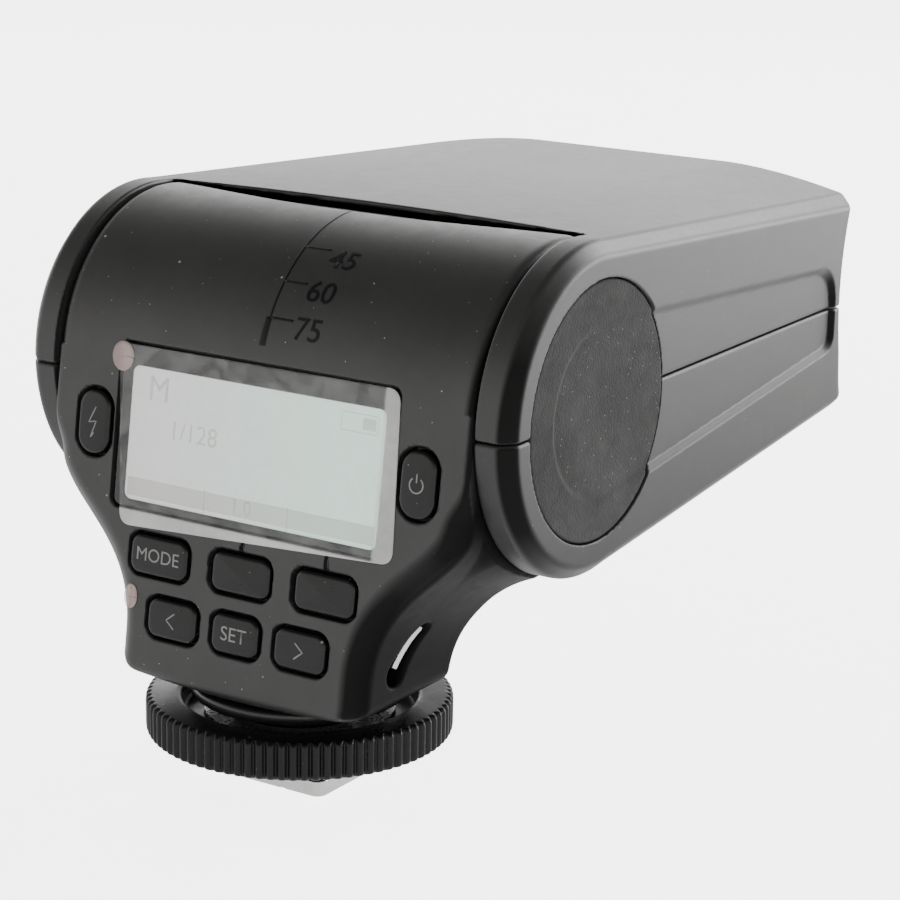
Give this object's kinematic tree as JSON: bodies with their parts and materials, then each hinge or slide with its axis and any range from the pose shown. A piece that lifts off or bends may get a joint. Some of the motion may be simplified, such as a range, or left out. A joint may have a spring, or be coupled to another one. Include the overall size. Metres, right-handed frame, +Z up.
{
  "type": "camera speedlight flash",
  "caption": "Compact shoe-mounted camera flash with a tilting head around a barrel body, a rear display and keys, and a knurled lock ring.",
  "frame": {"origin": "centre of the shoe foot's underside", "axes": "+Z up out of the shoe, +Y towards the subject (the head's direction at rest), +X to the right as seen from the display"},
  "size_m": [0.0654, 0.0919, 0.0639],
  "materials": {
    "housing_plastic": "fine satin grain",
    "pad_plastic": "speckled matt",
    "gloss_black": "gloss",
    "key_plastic": "satin gloss",
    "clear_window": "clear",
    "film": "clear film",
    "display": "backlit display",
    "board": "solder mask",
    "rubber": "matt",
    "steel": "plated",
    "gold": "plated",
    "red_window": "tinted",
    "cell_wrap": "printed sleeve",
    "lens": "ribbed clear",
    "mirror": "polished",
    "tube_glass": "clear",
    "sleeve": "sleeve",
    "wire": "insulation"
  },
  "bodies": {
    "body": {"rear_shell": "housing_plastic", "front_shell": "housing_plastic", "battery_cover": "housing_plastic", "body_screw_left": "steel", "body_screw_right": "steel", "assist_window": "red_window", "usb_shell": "steel", "usb_tongue": "gloss_black", "lcd_window": "clear_window", "screen_film": "film", "lcd_module": "display", "main_board": "board", "keypad_mat": "rubber", "tact_switch_left": "steel", "tact_switch_right": "steel", "cell_upper": "cell_wrap", "cell_lower": "cell_wrap", "contact_bridge": "gold", "contact_upper": "gold", "contact_lower": "gold", "detent_leaf": "steel", "foot_base": "gloss_black", "foot_plate": "steel", "contact_block": "gloss_black", "foot_screw_1": "steel", "foot_screw_2": "steel", "foot_screw_3": "steel", "foot_screw_4": "steel"},
    "head": {"head_upper_shell": "housing_plastic", "head_lower_shell": "housing_plastic", "head_screw_left": "steel", "head_screw_right": "steel", "side_pad_left": "pad_plastic", "side_pad_right": "pad_plastic", "pivot_tube_left": "gloss_black", "pivot_tube_right": "gloss_black", "lens_bezel": "gloss_black", "flat_lens": "lens", "reflector": "mirror", "flash_tube": "tube_glass", "main_capacitor": "sleeve", "head_board": "board", "wire_loom": "wire"},
    "lock_carrier": {"lock_washer": "steel", "lock_pin": "steel"},
    "lock_ring": {"lock_ring": "housing_plastic"},
    "button_flash_test": {"button_flash_test": "key_plastic"},
    "button_power": {"button_power": "key_plastic"},
    "button_mode": {"button_mode": "key_plastic"},
    "button_soft_left": {"button_soft_left": "key_plastic"},
    "button_soft_right": {"button_soft_right": "key_plastic"},
    "button_left": {"button_left": "key_plastic"},
    "button_set": {"button_set": "key_plastic"},
    "button_right": {"button_right": "key_plastic"},
    "shoe_contact_centre": {"shoe_contact_centre": "gold"},
    "shoe_contact_1": {"shoe_contact_1": "gold"},
    "shoe_contact_2": {"shoe_contact_2": "gold"},
    "shoe_contact_3": {"shoe_contact_3": "gold"},
    "shoe_contact_4": {"shoe_contact_4": "gold"}
  },
  "joints": [
    {"name": "head_tilt", "type": "hinge", "parent": "body", "child": "head", "pos_m": [0, 0.0101, 0.0442], "axis": [1, 0, 0], "range_deg": [0, 90]},
    {"name": "lock_rise", "type": "slide", "parent": "body", "child": "lock_carrier", "axis": [0, 0, 1], "range_m": [0, 0.0015]},
    {"name": "lock_turn", "type": "hinge", "parent": "lock_carrier", "child": "lock_ring", "pos_m": [0, 0, 0.006], "axis": [0, 0, 1], "range_deg": [0, 360]},
    {"name": "button_flash_test_press", "type": "slide", "parent": "body", "child": "button_flash_test", "axis": [0, 0.9903, -0.1392], "range_m": [0, 0.0005], "stiffness_N_per_m": 200, "springref_m": -0.002},
    {"name": "button_power_press", "type": "slide", "parent": "body", "child": "button_power", "axis": [0, 0.9903, -0.1392], "range_m": [0, 0.0005], "stiffness_N_per_m": 200, "springref_m": -0.002},
    {"name": "button_mode_press", "type": "slide", "parent": "body", "child": "button_mode", "axis": [0, 0.9903, -0.1392], "range_m": [0, 0.0005], "stiffness_N_per_m": 200, "springref_m": -0.002},
    {"name": "button_soft_left_press", "type": "slide", "parent": "body", "child": "button_soft_left", "axis": [0, 0.9903, -0.1392], "range_m": [0, 0.0005], "stiffness_N_per_m": 200, "springref_m": -0.002},
    {"name": "button_soft_right_press", "type": "slide", "parent": "body", "child": "button_soft_right", "axis": [0, 0.9903, -0.1392], "range_m": [0, 0.0005], "stiffness_N_per_m": 200, "springref_m": -0.002},
    {"name": "button_left_press", "type": "slide", "parent": "body", "child": "button_left", "axis": [0, 0.9903, -0.1392], "range_m": [0, 0.0005], "stiffness_N_per_m": 200, "springref_m": -0.002},
    {"name": "button_set_press", "type": "slide", "parent": "body", "child": "button_set", "axis": [0, 0.9903, -0.1392], "range_m": [0, 0.0005], "stiffness_N_per_m": 200, "springref_m": -0.002},
    {"name": "button_right_press", "type": "slide", "parent": "body", "child": "button_right", "axis": [0, 0.9903, -0.1392], "range_m": [0, 0.0005], "stiffness_N_per_m": 200, "springref_m": -0.002},
    {"name": "shoe_contact_centre_press", "type": "slide", "parent": "body", "child": "shoe_contact_centre", "axis": [0, 0, 1], "range_m": [0, 0.0006], "stiffness_N_per_m": 200, "springref_m": -0.001},
    {"name": "shoe_contact_1_press", "type": "slide", "parent": "body", "child": "shoe_contact_1", "axis": [0, 0, 1], "range_m": [0, 0.0006], "stiffness_N_per_m": 200, "springref_m": -0.001},
    {"name": "shoe_contact_2_press", "type": "slide", "parent": "body", "child": "shoe_contact_2", "axis": [0, 0, 1], "range_m": [0, 0.0006], "stiffness_N_per_m": 200, "springref_m": -0.001},
    {"name": "shoe_contact_3_press", "type": "slide", "parent": "body", "child": "shoe_contact_3", "axis": [0, 0, 1], "range_m": [0, 0.0006], "stiffness_N_per_m": 200, "springref_m": -0.001},
    {"name": "shoe_contact_4_press", "type": "slide", "parent": "body", "child": "shoe_contact_4", "axis": [0, 0, 1], "range_m": [0, 0.0006], "stiffness_N_per_m": 200, "springref_m": -0.001}
  ],
  "couplings": [
    {"joint": "lock_turn", "follows": "lock_rise", "rad_per_m": 4188.8}
  ]
}
